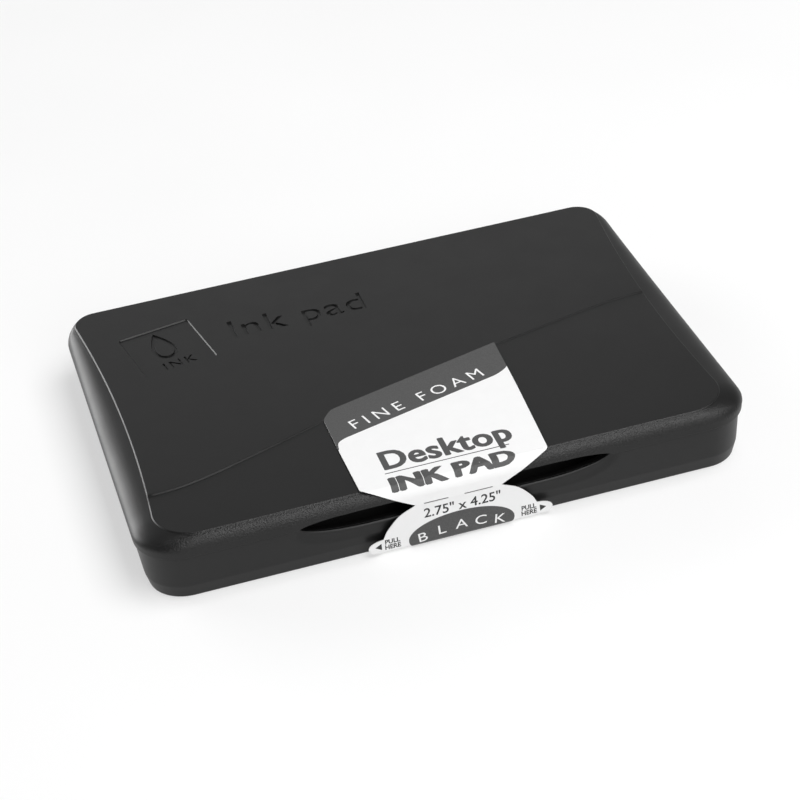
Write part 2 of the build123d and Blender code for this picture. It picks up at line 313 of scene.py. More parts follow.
def outline_points(shape, front=even(12), right=even(28), left=even(28), steps=CORNER_STEPS):
    """Anticlockwise points of an outline, as many for every outline with the same shares."""
    front_x = shape.front_x - shape.front_r
    rear_x = shape.rear_x - shape.rear_r
    front_y = shape.front_r - shape.edge_y
    rear_y = shape.edge_y - shape.rear_r
    points = [(front_x * (2 * s - 1), -shape.edge_y) for s in front]
    points += corner(front_x, front_y, shape.front_r, -90, steps)
    points += [side_point(shape, 1, s) for s in right]
    points += corner(rear_x, rear_y, shape.rear_r, 0, steps)
    points += [(rear_x * (1 - 2 * s), shape.edge_y) for s in front]
    points += corner(-rear_x, rear_y, shape.rear_r, 90, steps)
    points += [side_point(shape, -1, s) for s in reversed(left)]
    points += corner(-front_x, front_y, shape.front_r, 180, steps)
    return points


def skin(rings, cap_first=True, cap_last=True):
    """Vertices and faces of the closed strip through rings of equal length."""
    count = len(rings[0])
    verts = [p for ring in rings for p in ring]
    faces = []
    for low in range(0, len(verts) - count, count):
        high = low + count
        for i in range(count):
            j = (i + 1) % count
            faces.append((low + i, low + j, high + j, high + i))
    if cap_first:
        faces.append(tuple(range(count))[::-1])
    if cap_last:
        faces.append(tuple(range(len(verts) - count, len(verts))))
    return verts, faces


def bend(start, middle, end, steps):
    """Curve that cuts a corner."""
    shares = [k / steps for k in range(steps + 1)]
    return [start * (1 - t) ** 2 + middle * 2 * t * (1 - t) + end * t * t for t in shares]


def rounded(stations):
    """Rounds a profile's corners. Each station is a tuple with its rounding last."""
    out = []
    for k, station in enumerate(stations):
        here = Vector(station[:-1])
        width = station[-1]
        if width <= 0 or k in (0, len(stations) - 1):
            out.append(tuple(here))
            continue
        before = Vector(stations[k - 1][:-1]) - here
        after = Vector(stations[k + 1][:-1]) - here
        start = here + before * min(0.49, width / reach(before))
        end = here + after * min(0.49, width / reach(after))
        out += [tuple(p) for p in bend(start, here, end, PROFILE_STEPS)]
    return out


def reach(step):
    """Length of a profile step, whose last number is its height."""
    return math.hypot(max(abs(v) for v in step[:-1]), step[-1])


def box_profile(stations, **shares):
    """Rings of a moulded piece from (half_x, half_y, radius, z, rounding) stations."""
    return [[(x, y, z) for x, y in outline_points(plan(*size), **shares)]
            for *size, z in rounded(stations)]


def x_solid(name, outline, middle, length, edge=0.0):
    """Prism along X from a (y, z) outline, with its ends eased by edge."""
    centre = Vector((sum(p[0] for p in outline), sum(p[1] for p in outline))) / len(outline)
    rings = []
    ends = [(-length / 2, edge), (-length / 2 + edge, 0.0), (length / 2 - edge, 0.0), (length / 2, edge)]
    for x, shrink in ends if edge else ends[::3]:
        ring = []
        for point in outline:
            away = Vector(point) - centre
            ring.append((middle + x, *(centre + away * (1 - shrink / max(away.length, edge or 1)))))
        rings.append(ring)
    return solid(name, rings)


def hinge_circle(radius, steps=48):
    return ellipse((HINGE_Y, HINGE_Z), radius, radius, steps)


def block(name, low, high):
    rings = [[(low[0], low[1], z), (high[0], low[1], z), (high[0], high[1], z), (low[0], high[1], z)]
             for z in (low[2], high[2])]
    return solid(name, rings)


def add_knuckles(obj, places, length, arm, bore):
    """Joins hinge knuckles on to a shell and drills them for the pin."""
    for middle in places:
        join(obj, x_solid("arm", arm, middle, length))
        join(obj, x_solid("knuckle", hinge_circle(KNUCKLE_RADIUS), middle, length, KNUCKLE_EDGE))
    for middle in places:
        cut(obj, x_solid("bore", hinge_circle(bore, 32), middle, length + KNUCKLE_GAP))


# ---- letters and flat shapes

def letter_loops(text, size, at, turn=0.0, spacing=1.0, weight=0.0, stretch=1.0):
    """Outlines of a line of plain letters, centred on a baseline point."""
    curve = bpy.data.curves.new("letters", "FONT")
    curve.body = text
    curve.size = size
    curve.space_character = spacing
    curve.offset = weight
    curve.resolution_u = 4
    holder = new_object("letters", curve)
    flat = bpy.data.meshes.new_from_object(holder)
    mesh = bmesh.new()
    mesh.from_mesh(flat)
    bmesh.ops.remove_doubles(mesh, verts=mesh.verts, dist=1e-5)
    rim = [edge.link_loops[0] for edge in mesh.edges if len(edge.link_loops) == 1]
    follow = {loop.vert.index: loop.link_loop_next.vert.index for loop in rim}
    spots = [v.co.xy.copy() for v in mesh.verts]
    mesh.free()
    bpy.data.objects.remove(holder)
    bpy.data.curves.remove(curve)
    bpy.data.meshes.remove(flat)
    middle = (min(p.x for p in spots) + max(p.x for p in spots)) / 2
    spin = Matrix.Rotation(math.radians(turn), 2)
    loops = []
    while follow:
        loop = [next(iter(follow))]
        while (step := follow.pop(loop[-1], loop[0])) != loop[0]:
            loop.append(step)
        if len(loop) > 2:
            plain = [Vector(((spots[i].x - middle) * stretch, spots[i].y)) for i in loop]
            loops.append([spin @ point + Vector(at) for point in plain])
    return loops


def bold_lines(text, size, at, spread, **style):
    """A line of letters set five times, a little to each side, for a heavy face."""
    ways = [(0, 0), (-1, 0), (1, 0), (0, -0.5), (0, 0.5)]
    return [letter_loops(text, size, (at[0] + x * spread, at[1] + y * spread), **style) for x, y in ways]


def area(loop):
    return sum(a[0] * b[1] - b[0] * a[1] for a, b in zip(loop, loop[1:] + loop[:1])) / 2


def eased(points):
    """Closed outline whose corners (x, y, rounding) are rounded off."""
    out = []
    for k, (x, y, width) in enumerate(points):
        here = Vector((x, y))
        if width <= 0:
            out.append(here)
            continue
        before = Vector(points[k - 1][:2]) - here
        after = Vector(points[(k + 1) % len(points)][:2]) - here
        start = here + before.normalized() * min(width, before.length * 0.49)
        end = here + after.normalized() * min(width, after.length * 0.49)
        out += bend(start, here, end, OUTLINE_STEPS)
    return out


def smooth_line(points, steps):
    """Smooth line through its points."""
    spots = [Vector(p) for p in points]
    ends = [spots[0] * 2 - spots[1], *spots, spots[-1] * 2 - spots[-2]]
    out = []
    for a, b, c, d in zip(ends, ends[1:], ends[2:], ends[3:]):
        for step in range(steps):
            t = step / steps
            out.append(0.5 * (2 * b + (c - a) * t + (2 * a - 5 * b + 4 * c - d) * t * t
                              + (3 * b - a - 3 * c + d) * t ** 3))
    return out + [spots[-1]]


def gather(loops):
    """Points of several loops in one list, and each loop's places in it."""
    spots = []
    rings = []
    for loop in loops:
        rings.append(list(range(len(spots), len(spots) + len(loop))))
        spots += [Vector(p[:2]) for p in loop]
    return spots, rings


def printed_sheet(name, outline, shapes, bends, place):
    """Sheet of paper from its flat outline. shapes are (ink, loops), bends are the flat heights
    where it turns, and place(x, v, depth) says where a flat point is."""
    loops = [outline] + [loop for _, loops in shapes for loop in loops]
    spots, faces = gather([loop if area(loop) > 0 else loop[::-1] for loop in loops])
    owner = [None] + [k for k, (_, loops) in enumerate(shapes) for _ in loops]
    low_x = min(p[0] for p in outline) - 1
    high_x = max(p[0] for p in outline) + 1
    edges = []
    for v in bends:
        edges.append((len(spots), len(spots) + 1))
        spots += [Vector((low_x, v)), Vector((high_x, v))]
    flat, _, triangles, _, _, inside = delaunay_2d_cdt(spots, edges, faces, 0, 1e-5)
    kept = []
    inks = []
    for triangle, holders in zip(triangles, inside):
        if 0 not in holders:
            continue
        ink = PLAIN
        for k, (shape_ink, _) in enumerate(shapes):
            if sum(1 for h in holders if owner[h] == k) % 2:
                ink = shape_ink
        kept.append(triangle)
        inks.append(ink)
    used = sorted({i for triangle in kept for i in triangle})
    index = {old: new for new, old in enumerate(used)}
    count = len(used)
    verts = [place(flat[i].x, flat[i].y, depth) for depth in (0.0, 1.0) for i in used]
    tops = [[index[i] for i in triangle] for triangle in kept]
    sides = dict.fromkeys(edge for a, b, c in tops for edge in ((a, b), (b, c), (c, a)))
    backs = [[i + count for i in reversed(top)] for top in tops]
    walls = [(b, a, a + count, b + count) for a, b in sides if (b, a) not in sides]
    obj = mesh_object(name, verts, tops + backs + walls)
    slots = inks + [BACK] * (len(backs) + len(walls))
    obj.data.polygons.foreach_set("material_index", slots)
    return obj


# ---- materials

def set_up(node, values):
    """Sets sockets, named with _ for a space, and otherwise settings of a node."""
    for key, value in values.items():
        socket = node.inputs.get(key.replace("_", " "))
        if socket:
            socket.default_value = value
        else:
            setattr(node, key, value)
    return node


def shader(material):
    return material.node_tree.nodes["Principled BSDF"]


def new_material(name, **values):
    """New material, with what is the same all over set on its shader."""
    material = bpy.data.materials.new(name)
    material.use_nodes = True
    set_up(shader(material), values)
    return material


def add(material, kind, **values):
    return set_up(material.node_tree.nodes.new("ShaderNode" + kind), values)


def wire(out, into):
    into.id_data.links.new(out, into)


def place_of(material, stretch=None):
    """Coordinates on the piece, in metres, stretched along an axis if asked."""
    spot = add(material, "TexCoord").outputs["Object"]
    if stretch is None:
        return spot
    mapping = add(material, "Mapping", Scale=stretch)
    wire(spot, mapping.inputs["Vector"])
    return mapping.outputs["Vector"]


def grain(material, scale, detail=3.0, rough=0.55, stretch=None):
    node = add(material, "TexNoise", Scale=scale, Detail=detail, Roughness=rough)
    wire(place_of(material, stretch), node.inputs["Vector"])
    return node.outputs["Fac"]


def ramp(material, value, stops):
    """Maps a value to a colour or grey level by (position, level) stops."""
    node = add(material, "ValToRGB")
    while len(node.color_ramp.elements) < len(stops):
        node.color_ramp.elements.new(0.5)
    for element, (position, level) in zip(node.color_ramp.elements, stops):
        element.position = position
        element.color = (*level, 1) if isinstance(level, tuple) else (level, level, level, 1)
    wire(value, node.inputs["Fac"])
    return node.outputs["Color"]


def paint(material, value, stops, socket="Base Color"):
    """Lets a value set a socket of the shader, by (position, level) stops."""
    wire(ramp(material, value, stops), shader(material).inputs[socket])


def bump(material, heights):
    """Chain of bumps on a shader from (height output, strength, distance in mm)."""
    normal = None
    for height, strength, distance in heights:
        step = add(material, "Bump", Strength=strength, Distance=distance * MM)
        wire(height, step.inputs["Height"])
        if normal is not None:
            wire(normal, step.inputs["Normal"])
        normal = step.outputs["Normal"]
    wire(normal, shader(material).inputs["Normal"])


def fade_in(material, value, start, end):
    """A value that grows from nothing at one y to all of itself at another."""
    axes = add(material, "SeparateXYZ")
    wire(place_of(material), axes.inputs["Vector"])
    share = add(material, "MapRange", interpolation_type="SMOOTHSTEP",
                From_Min=start * MM, From_Max=end * MM)
    wire(axes.outputs["Y"], share.inputs["Value"])
    product = add(material, "Math", operation="MULTIPLY")
    wire(value, product.inputs[0])
    wire(share.outputs["Result"], product.inputs[1])
    return product.outputs["Value"]


def make_plastic(name, level, roughness, depth, edge=None):
    """Satin moulded plastic: fine grain, faint mottling and slightly rubbed patches. With an edge,
    the grain grows between its two y."""
    material = new_material(name, Roughness=roughness, Specular_IOR_Level=0.38)
    mottle = grain(material, 160, 4.0)
    paint(material, mottle, [(0.3, level * 0.9), (0.7, level * 1.1)])
    rubbed = grain(material, 90, 5.0, 0.6)
    paint(material, rubbed, [(0.35, roughness - 0.02), (0.65, roughness + 0.02)], "Roughness")
    fine = grain(material, 3000, 2.0)
    if edge:
        fine = fade_in(material, fine, *edge)
    bump(material, [(fine, 1.0, depth), (grain(material, 500, 2.0), 0.08, 0.02)])
    return material


def make_paper(name, level, roughness=0.55):
    """Coated label paper: faint fibres and cloudiness."""
    material = new_material(name, Roughness=roughness, Specular_IOR_Level=0.35)
    cloud = grain(material, 260, 5.0, 0.6)
    paint(material, cloud, [(0.3, level * 0.975), (0.7, level)])
    fibres = grain(material, 1500, 4.0, 0.6, (1.0, 2.6, 2.6))
    bump(material, [(fibres, 0.10, 0.02)])
    return material


def make_ink(name, level, spread):
    """Printing ink on paper, a little uneven where the press has left specks."""
    material = new_material(name, Roughness=0.5, Specular_IOR_Level=0.3)
    speck = grain(material, 3600, 2.0, 0.5)
    paint(material, speck, [(0.3, level * (1 - spread)), (0.7, level * (1 + spread))])
    bump(material, [(grain(material, 1500, 3.0), 0.08, 0.02)])
    return material


def make_steel():
    """Drawn steel wire, with fine marks round it."""
    material = new_material("pin_steel", Roughness=0.28, Metallic=1.0)
    marks = grain(material, 900, 3.0, 0.6, (6.0, 1.0, 1.0))
    paint(material, marks, [(0.3, 0.42), (0.7, 0.6)])
    paint(material, marks, [(0.3, 0.22), (0.7, 0.36)], "Roughness")
    bump(material, [(marks, 0.15, 0.02)])
    return material


def make_foam(name, level, roughness, pore, depth):
    """Open-pored foam, moist with ink: small round pits, their floors darkened as painted shade."""
    material = new_material(name, Roughness=roughness, Specular_IOR_Level=0.45)
    cells = add(material, "TexVoronoi", Scale=pore, Randomness=1.0)
    wire(place_of(material), cells.inputs["Vector"])
    pits = ramp(material, cells.outputs["Distance"], [(0.12, 0.0), (0.5, 1.0)])
    # Painted shade: the base colour darkens towards each pit's floor
    paint(material, pits, [(0.0, level * 0.45), (1.0, level)])
    damp = grain(material, 120, 4.0, 0.6)
    paint(material, damp, [(0.4, roughness - 0.12), (0.62, roughness + 0.08)], "Roughness")
    bump(material, [(pits, 0.55, depth), (damp, 0.2, 0.15)])
    return material


def make_felt():
    """Pressed felt, inked: short crossing fibres."""
    material = new_material("ink_felt", Roughness=0.95, Specular_IOR_Level=0.15)
    fibres = grain(material, 900, 6.0, 0.7, (1.0, 3.5, 2.0))
    across = grain(material, 900, 6.0, 0.7, (3.5, 1.0, 2.0))
    paint(material, fibres, [(0.35, 0.006), (0.7, 0.03)])
    bump(material, [(fibres, 0.6, 0.2), (across, 0.5, 0.2)])
    return material


# ---- lid

def wave_y(x):
    """Where the step of the lid's top runs, as y over x."""
    k = max(i for i in range(len(WAVE) - 1) if WAVE[i][0] <= x or i == 0)
    (x0, y0), (x1, y1) = WAVE[k], WAVE[k + 1]
    before = WAVE[max(k - 1, 0)]
    after = WAVE[min(k + 2, len(WAVE) - 1)]
    slope0 = (y1 - before[1]) / (x1 - before[0])
    slope1 = (after[1] - y0) / (after[0] - x0)
    width = x1 - x0
    t = (x - x0) / width
    return (y0 * (2 * t ** 3 - 3 * t ** 2 + 1) + slope0 * width * (t ** 3 - 2 * t ** 2 + t)
            + y1 * (3 * t ** 2 - 2 * t ** 3) + slope1 * width * (t ** 3 - t ** 2))


def shoulder(part):
    """Plan outline of the shoulder, from the skirt (0) to the crease of the top panel (1)."""
    return Outline(
        HALF_X - FRONT_END_INSET * part, HALF_X - WAIST_INSET * part, HALF_X - REAR_INSET * part,
        HALF_Y - SHOULDER_INSET * part,
        CASE_CORNER + (FRONT_CORNER - CASE_CORNER) * part,
        CASE_CORNER + (REAR_CORNER - CASE_CORNER) * part,
    )


def roll(part):
    """Share of the shoulder's inset at this share of its height."""
    full = 1 - (1 - ROLL_SWEEP ** 2) ** 0.5
    return (1 - (1 - (ROLL_SWEEP * part) ** 2) ** 0.5) / full


def wave_crossing(shape, way, offset):
    """Share along a long side where a line beside the step meets it."""
    low, high = 0.0, 1.0
    for _ in range(50):
        middle = (low + high) / 2
        x, y = side_point(shape, way, middle)
        if y < wave_y(x) + offset:
            low = middle
        else:
            high = middle
    return low


def side_shares(shape, way, steps):
    """Shares along a side, the ends of the step's lines among them, each with its part of the drop."""
    crossings = [(wave_crossing(shape, way, offset), part) for offset, part in WAVE_PROFILE]
    front = min(s for s, _ in crossings)
    rear = max(s for s, _ in crossings)
    clear = 0.004
    plain = [(s, 1.0) for s in even(steps) if s < front - clear]
    plain += [(s, 0.0) for s in even(steps) if s > rear + clear]
    return sorted(plain + crossings)


def panel_z(part, y):
    """Height of the top: 0 is the rear panel, 1 the sloping front panel, between them the step."""
    fall = LID_TOP - PANEL_FRONT_Z - PANEL_SLOPE * (y + CREASE_Y)
    return LID_TOP - part * max(STEP_DROP, fall)


def crease_z(x, y):
    """Height of the crease round the top, which changes gently past the step's end."""
    front = min(SHOULDER_TOP, panel_z(1.0, y) - CREASE_DROP)
    t = min(1.0, max(0.0, 0.5 + (wave_y(x) - y) / CREASE_RUN))
    return SHOULDER_TOP + (front - SHOULDER_TOP) * t * t * (3 - 2 * t)


def crease_profile(x):
    """The crease's rounding as (depth, drop): an edge on the left, softer on the right."""
    low, high = CREASE_SOFT_X
    share = min(1.0, max(0.0, (x - low) / (high - low)))
    return [(a[0] + (b[0] - a[0]) * share, a[1] + (b[1] - a[1]) * share)
            for a, b in zip(CREASE_SHARP, CREASE_SOFT)]


def lid_mesh():
    """Outside and inside of the lid as one closed mesh."""
    top_shape = inset(shoulder(1), CREASE_ROUND)
    right = side_shares(top_shape, 1, 40)
    left = side_shares(top_shape, -1, 40)
    shares = {"front": even(24), "right": [s for s, _ in right], "left": [s for s, _ in left]}
    ends = CORNER_STEPS + 1
    parts = [1.0] * (len(shares["front"]) + ends) + [p for _, p in right]
    parts += [0.0] * (2 * ends + len(shares["front"]))
    parts += [p for _, p in reversed(left)] + [1.0] * ends

    rib_in = [v - SEAL_RIB_WALL for v in SEAL_RIB]
    skirt_in = [v - SKIRT_WALL for v in CASE]
    skirt_out = [v - SKIRT_STEP for v in CASE]
    rings = box_profile([
        (*rib_in, CEILING_TOP, 0), (*rib_in, SEAL_RIB_BOTTOM, 0.2), (*SEAL_RIB, SEAL_RIB_BOTTOM, 0.2),
        (*SEAL_RIB, CEILING_TOP, 0.2), (*CEILING, CEILING_TOP, 0.3), (*skirt_in, CEILING_Z, 0.3),
        (*skirt_in, LID_BOTTOM, 0.15), (*skirt_out, LID_BOTTOM, 0.18),
        (*skirt_out, SHOULDER_Z - 0.02, 0), (*skirt_out, SHOULDER_Z, 0),
    ], **shares)
    for k in range(ROLL_STEPS + 1):
        height = k / ROLL_STEPS
        flat = outline_points(shoulder(roll(height)), **shares)
        ring = []
        for (x, y), part in zip(flat, parts):
            crease = min(crease_z(x, y), panel_z(part, y) - CREASE_LEAST)
            ring.append((x, y, SHOULDER_Z + height * (crease - SHOULDER_Z)))
        rings.append(ring)
    edge = outline_points(shoulder(1), **shares)
    panel = outline_points(top_shape, **shares)
    for k in range(len(CREASE_SHARP)):
        ring = []
        for (x0, y0), (x1, y1), part in zip(edge, panel, parts):
            depth, drop = crease_profile(x0)[k]
            x, y = x0 + (x1 - x0) * depth, y0 + (y1 - y0) * depth
            top = panel_z(part, y)
            crease = min(crease_z(x0, y0), top - CREASE_LEAST)
            ring.append((x, y, top - drop * CREASE_SHARE * (top - crease)))
        rings.append(ring)
    verts, faces = skin(rings, cap_last=False)
    return cap_lid(verts, faces, rings[-1], parts)


def cap_lid(verts, faces, ring, parts):
    """Closes the lid's top, with the step worked into it."""
    count = len(ring)
    first = len(verts) - count
    spots = [Vector(p[:2]) for p in ring]
    edges = [(i, (i + 1) % count) for i in range(count)]
    heights = [p[2] for p in ring]
    for offset, part in WAVE_PROFILE:
        ends = [i for i in range(count) if parts[i] == part
                and abs(spots[i].y - wave_y(spots[i].x) - offset) < 1e-3]
        ends.sort(key=lambda i: spots[i].x)
        chain = [ends[0]]
        low_x, high_x = spots[ends[0]].x, spots[ends[-1]].x
        for k in range(1, WAVE_STEPS):
            x = low_x + (high_x - low_x) * k / WAVE_STEPS
            y = wave_y(x) + offset
            chain.append(len(spots))
            spots.append(Vector((x, y)))
            heights.append(panel_z(part, y))
        chain.append(ends[-1])
        edges += list(zip(chain, chain[1:]))
    flat, _, triangles, origins, _, _ = delaunay_2d_cdt(spots, edges, [], 1, 1e-6)
    index = []
    for spot, origin in zip(flat, origins):
        source = min(origin)
        if source < count:
            index.append(first + source)
        else:
            index.append(len(verts))
            verts.append((spot.x, spot.y, heights[source]))
    faces += [tuple(index[i] for i in triangle) for triangle in triangles]
    return verts, faces


def pressing_tool(loops, depth, slope):
    """Tool that presses flat outlines into the lid, narrower towards the floor. Outer outlines run
    anticlockwise and holes clockwise."""
    spots, rings = gather(loops)
    outlines = [ring if area([spots[i] for i in ring]) > 0 else ring[::-1] for ring in rings]
    _, _, triangles, origins, _, inside = delaunay_2d_cdt(spots, [], outlines, 0, 1e-6)
    caps = [[min(origins[i]) for i in triangle]
            for triangle, holders in zip(triangles, inside) if len(holders) % 2]
    low = list(spots)
    for ring in rings:
        for before, here, after in zip(ring[-1:] + ring[:-1], ring, ring[1:] + ring[:1]):
            ahead = (spots[after] - spots[here]).normalized()
            behind = (spots[here] - spots[before]).normalized()
            across = Vector((-ahead.y - behind.y, ahead.x + behind.x))
            if across.length > 1e-6:
                low[here] = spots[here] + across.normalized() * slope
    count = len(spots)
    verts = [(p.x, p.y, LID_TOP - depth) for p in low]
    verts += [(p.x, p.y, z) for z in (LID_TOP, LID_TOP + PRESS_RISE) for p in spots]
    faces = []
    for ring in rings:
        for level in (0, count):
            for i, j in zip(ring, ring[1:] + ring[:1]):
                faces.append((level + i, level + j, level + count + j, level + count + i))
    faces += [tuple(cap[::-1]) for cap in caps] + [tuple(i + 2 * count for i in cap) for cap in caps]
    obj = mesh_object("cut", verts, faces)
    tidy_mesh(obj)
    return obj


def slot_tool(depth, middle, near, far):
    """Shape for the gap at the thumb notch: a long slot with elliptical ends."""
    points = []
    for way, start in ((1, -90), (-1, 90)):
        for k in range(33):
            turn = math.radians(start + 180 * k / 32)
            points.append((way * NOTCH_FLAT + NOTCH_END * math.cos(turn), middle + depth * math.sin(turn)))
    return solid("cut", [[(x, y, z) for x, z in points] for y in (near, far)])


def drop_outline(centre, size):
    """Plain ink drop, point up, taken anticlockwise."""
    steps = 36
    points = [(centre[0], centre[1] + size)]
    for k in range(4, steps - 3):
        turn = -2 * math.pi * k / steps
        points.append((centre[0] - size * 0.62 * math.sin(turn) * math.sin(turn / 2),
                       centre[1] + size * math.cos(turn)))
    return points


def turned(points):
    """Outline turned with the emblem."""
    spin = Matrix.Rotation(math.radians(EMBLEM_TURN), 2)
    centre = Vector(EMBLEM_CENTRE)
    return [spin @ (Vector(p[:2]) - centre) + centre for p in points]


def build_lid(plastic, coarse):
    obj = mesh_object("lid_case", *lid_mesh())
    tidy_mesh(obj)
    obj.data.materials.append(None)
    obj.data.materials.append(None)
    # The coarse plastic is on the outside of the rolled shoulder
    for face in obj.data.polygons:
        spot = face.center
        rolled = SHOULDER_Z + 0.02 < spot.z < SHOULDER_TOP + 0.05 and abs(face.normal.z) < 0.97
        face.material_index = 1 if rolled and face.normal.dot((spot.x, spot.y, 20)) > 0 else 0
    add_knuckles(obj, (-HINGE_X, HINGE_X), LID_KNUCKLE, LID_ARM, PIN_RADIUS + 0.06)
    cut(obj, slot_tool(ARCH_DEPTH, LID_BOTTOM, -HALF_Y - 1, RIM_INSET - HALF_Y))
    frame = [eased([(-52.2, 14.0, 1.2), (-35.8, 14.0, 0.8), (-35.8, 31.8, 0.8), (-52.2, 31.8, 0.8)])]
    drop = [drop_outline((-44.6, 24.8), 5.6), drop_outline((-44.6, 24.3), 3.9)[::-1]]
    small = letter_loops("INK", 3.9, (-43.6, 15.2), spacing=1.25, weight=0.03)
    for loops, depth, slope in ((frame, 0.24, 0.2), (drop, 0.5, 0.14), (small, 0.48, 0.02)):
        cut(obj, pressing_tool([turned(loop) for loop in loops], depth, slope))
    cut(obj, pressing_tool(letter_loops("Ink pad", 10.2, (-14.4, 21.1), spacing=1.06), 0.34, 0.1))
    finish_piece(obj, "lid", [plastic, coarse], "lid_shell")


# ---- base

def notch_top(x):
    """Height of the base's land, which dips at the thumb notch."""
    beyond = max(0.0, abs(x) - NOTCH_FLAT) / NOTCH_END
    if beyond >= 1:
        return BASE_TOP
    return min(BASE_TOP, NOTCH_Z - NOTCH_DEPTH * math.sqrt(1 - beyond * beyond))


def scoop_share(x, z):
    """How far the front wall follows the hollow under the notch, from 0 outside it to 1."""
    beyond = max(0.0, abs(x) - SCOOP_FLAT) / SCOOP_END
    inside = 1 - math.hypot(beyond, (z - BASE_TOP) / SCOOP_DEPTH)
    t = min(1.0, max(0.0, inside / SCOOP_FADE))
    return t * t * (3 - 2 * t)


def shape_front(point):
    """Moves a point of the base's outside for the thumb notch and the hollow under it."""
    x, y, z = point
    rim_y = RIM_INSET - HALF_Y
    if y > rim_y + 0.2 or z < BELT_Z:
        return point
    top = notch_top(x)
    if z <= BASE_TOP:
        z = BELT_Z + (z - BELT_Z) * (top - BELT_Z) / (BASE_TOP - BELT_Z)
    else:
        z = top + (z - BASE_TOP) * (RIM_TOP - top) / (RIM_TOP - BASE_TOP)
    wall_y = BELT_INSET - HALF_Y - (BELT_INSET - WALL_TOP_INSET) * (z - BELT_Z) / (BASE_TOP - BELT_Z)
    hollow_y = rim_y - LEDGE - SCOOP_RADIUS + math.sqrt(SCOOP_RADIUS ** 2 - (min(z, 11.0) - SCOOP_Z) ** 2)
    shift = max(0.0, hollow_y - wall_y) * scoop_share(x, z)
    if z <= top:
        shift += LIP[0] * (BASE_TOP - top) / NOTCH_DEPTH * max(0.0, 1 - (top - z) / LIP[1]) ** 2
    share = (y - rim_y) / (wall_y - rim_y)
    return (x, y + shift * min(1.0, max(0.0, share)), z)


def build_base(plastic):
    wall = [(BELT_INSET + (WALL_TOP_INSET - BELT_INSET) * t, BELT_Z + (BASE_TOP - BELT_Z) * t, 0)
            for t in even(WALL_STEPS)]
    profile = [
        (FOOT_INSET + 1, 0, 0), (FOOT_INSET, 0, 0.3), (BELT_INSET, BELT_Z, 0.22), *wall,
        (WALL_TOP_INSET, BASE_TOP, 0.28), (RIM_INSET, BASE_TOP, 0.06), (RIM_INSET, RIM_TOP, 0.2),
        (CAVITY_INSET, RIM_TOP, 0.2), (CAVITY_INSET, FLOOR_Z, 0.5), (CAVITY_INSET + 1, FLOOR_Z, 0),
    ]
    stations = [(*[v - depth for v in CASE], z, rounding) for depth, z, rounding in profile]
    rings = box_profile(stations, front=even(FRONT_STEPS))
    cavity_y = HALF_Y - CAVITY_INSET + 0.3
    rings = [[shape_front(p) if p[1] < -cavity_y else p for p in ring] for ring in rings]
    obj = solid("base_case", rings)
    behind = CAVITY_INSET - HALF_Y + 0.1
    cut(obj, slot_tool(NOTCH_DEPTH - 0.02, NOTCH_Z, RIM_INSET - HALF_Y - 0.2, behind))
    for x in RIB_X:
        for side in (-1, 1):
            near, far = sorted(side * y for y in RIB_Y)
            join(obj, block("rib", (x - RIB_HALF, near, RIB_BOTTOM), (x + RIB_HALF, far, DECK_BOTTOM)))
    bead = ellipse(BEAD, BEAD_RADIUS, BEAD_RADIUS, 16)
    for side in (-1, 1):
        join(obj, x_solid("bead", bead, side * BEAD_X, BEAD_LENGTH, 0.15))
    offset = LID_KNUCKLE / 2 + KNUCKLE_GAP + BASE_KNUCKLE / 2
    places = [side * HINGE_X + way * offset for side in (-1, 1) for way in (-1, 1)]
    add_knuckles(obj, places, BASE_KNUCKLE, BASE_ARM, PIN_RADIUS)
    half, rear, depth = RECESS
    cut(obj, block("recess", (-half, -HALF_Y - 1, -1), (half, -rear, depth)))
    finish_piece(obj, "base", [plastic], "base_shell")


def build_tray(plastic):
    cup = [v + TRAY_CLEARANCE + TRAY_WALL for v in PAD]
    cup_in = [v + TRAY_CLEARANCE for v in PAD]
    deck = [v - DECK_INSET for v in CASE]
    stations = [
        (*[v - 1 for v in cup], FLOOR_Z, 0), (*cup, FLOOR_Z, 0.3), (*cup, DECK_BOTTOM, 0.3),
        (*deck, DECK_BOTTOM, 0.12), (*deck, DECK_TOP, 0.15), (*cup, DECK_TOP, 0.25), (*cup, LIP_TOP, 0.25),
        (*cup_in, LIP_TOP, 0.25), (*cup_in, FLOOR_Z + 1, 0.4), (*[v - 1 for v in cup_in], FLOOR_Z + 1, 0),
    ]
    obj = mesh_object("tray_moulding", *skin(box_profile(stations)))
    finish_piece(obj, "base", [plastic], "pad_tray")


def build_pins(steel):
    for side, name in ((-1, "pin_left"), (1, "pin_right")):
        obj = x_solid(name, hinge_circle(PIN_RADIUS, 40), side * HINGE_X, 2 * PIN_HALF, 0.2)
        finish_piece(obj, "base", [steel], "hinge_" + name)


# ---- pad

